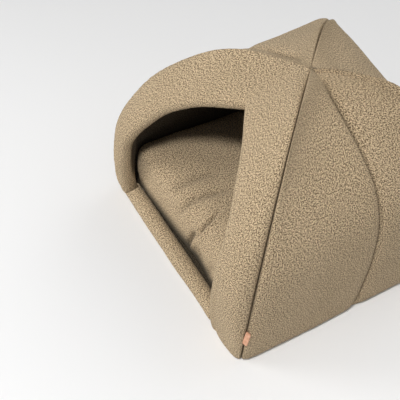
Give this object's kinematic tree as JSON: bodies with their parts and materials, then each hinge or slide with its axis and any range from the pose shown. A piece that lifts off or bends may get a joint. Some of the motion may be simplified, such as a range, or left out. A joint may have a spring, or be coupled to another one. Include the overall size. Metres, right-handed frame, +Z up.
{
  "type": "pet cave bed",
  "caption": "Padded fabric pet cave: a domed hood on a square base with sewn ridges, an arched front opening with a rolled sill, and a thick loose cushion inside.",
  "frame": {"origin": "middle of the square base, on the underside of the floor pad", "axes": "+Z up to the apex of the dome, -Y out of the front opening, +X towards the wall with the tag"},
  "size_m": [0.5116, 0.5282, 0.4302],
  "materials": {
    "boucle": "matte looped pile",
    "boucle_inside": "matte looped pile",
    "leather": "satin"
  },
  "bodies": {
    "root": {"front_panel": "boucle", "sill": "boucle", "right_front_panel": "boucle", "right_rear_panel": "boucle", "left_front_panel": "boucle", "left_rear_panel": "boucle", "back_panel": "boucle", "floor_pad": "boucle_inside", "cushion": "boucle_inside", "tag": "leather"}
  },
  "joints": []
}
